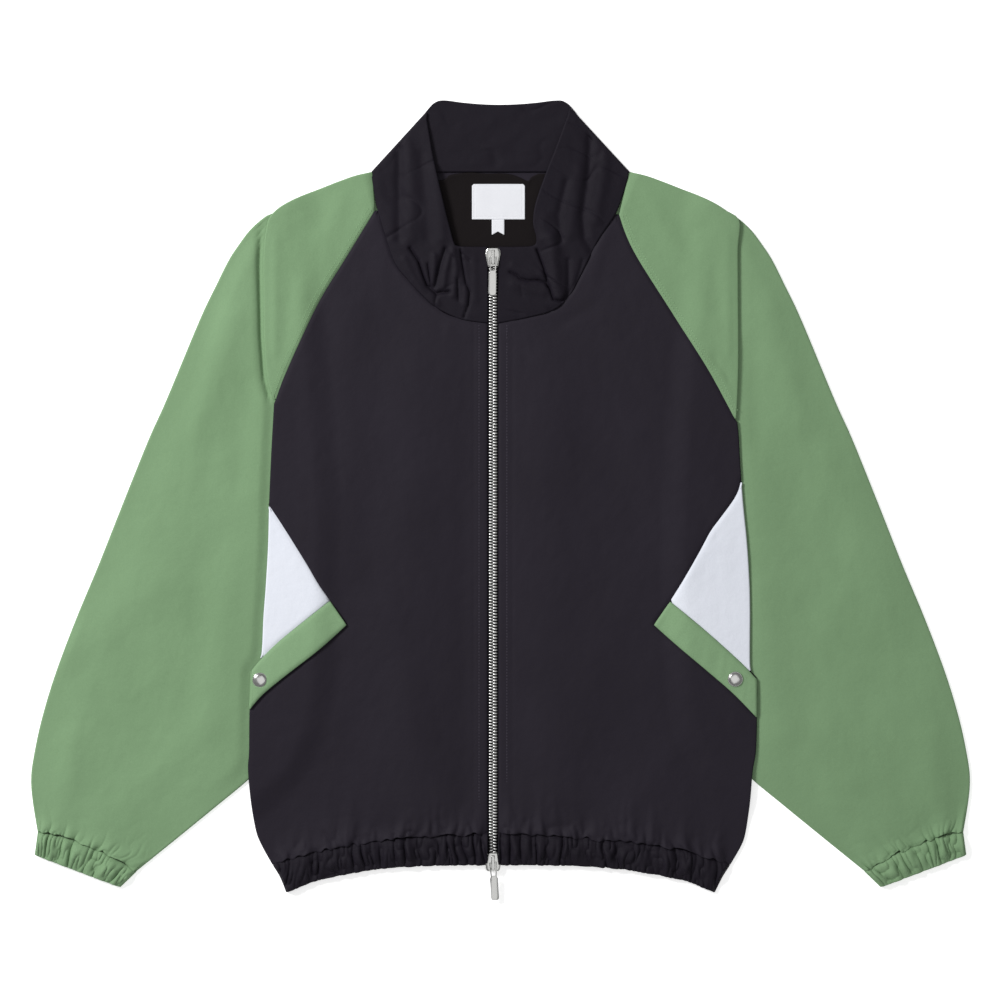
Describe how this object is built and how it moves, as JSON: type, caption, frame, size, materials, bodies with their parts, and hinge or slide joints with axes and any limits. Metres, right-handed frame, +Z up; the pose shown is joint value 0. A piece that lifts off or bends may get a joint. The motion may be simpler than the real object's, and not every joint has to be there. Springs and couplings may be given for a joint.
{
  "type": "track jacket laid flat",
  "caption": "Hip-length zipped track jacket laid flat on its back, with stand collar, raglan shoulders, gathered cuffs and hem, and side pocket welts.",
  "frame": {"origin": "on the surface below the middle of the laid-out jacket", "axes": "+Z up from the surface, +Y towards the collar, +X towards the wearer's left"},
  "size_m": [0.9372, 0.7984, 0.0131],
  "materials": {
    "black_shell": "matt black nylon taffeta, faint violet cast",
    "green_shell": "sage green nylon taffeta, low sheen",
    "white_shell": "white nylon taffeta",
    "lining": "soft dark lining cloth",
    "label_cloth": "white woven label, blank",
    "zip_tape": "black woven zip tape",
    "silver_metal": "polished nickel-plated metal"
  },
  "bodies": {
    "jacket": {"front_right": "black_shell", "shoulder_right": "green_shell", "sleeve_right": "green_shell", "cuff_right": "green_shell", "side_insert_right": "white_shell", "pocket_welt_right": "green_shell", "snap_right": "silver_metal", "zip_tape_right": "zip_tape", "front_left": "black_shell", "shoulder_left": "green_shell", "sleeve_left": "green_shell", "cuff_left": "green_shell", "side_insert_left": "white_shell", "pocket_welt_left": "green_shell", "snap_left": "silver_metal", "zip_tape_left": "zip_tape", "back": "black_shell", "hem_casing": "black_shell", "collar": "black_shell", "back_lining": "lining", "neck_label": "label_cloth", "size_tab": "label_cloth", "zip_chain": "silver_metal", "slider_top": "silver_metal", "slider_bottom": "silver_metal"},
    "pull_top": {"pull_top": "silver_metal"},
    "pull_bottom": {"pull_bottom": "silver_metal"}
  },
  "joints": [
    {"name": "top_pull_hinge", "type": "hinge", "parent": "jacket", "child": "pull_top", "pos_m": [-0.0075, 0.2425, 0.01058], "axis": [-0.9998, 0.0209, 0], "range_deg": [0, 150]},
    {"name": "bottom_pull_hinge", "type": "hinge", "parent": "jacket", "child": "pull_bottom", "pos_m": [-0.0075, -0.3613, 0.0085], "axis": [-0.9982, -0.0593, 0], "range_deg": [0, 150]}
  ]
}
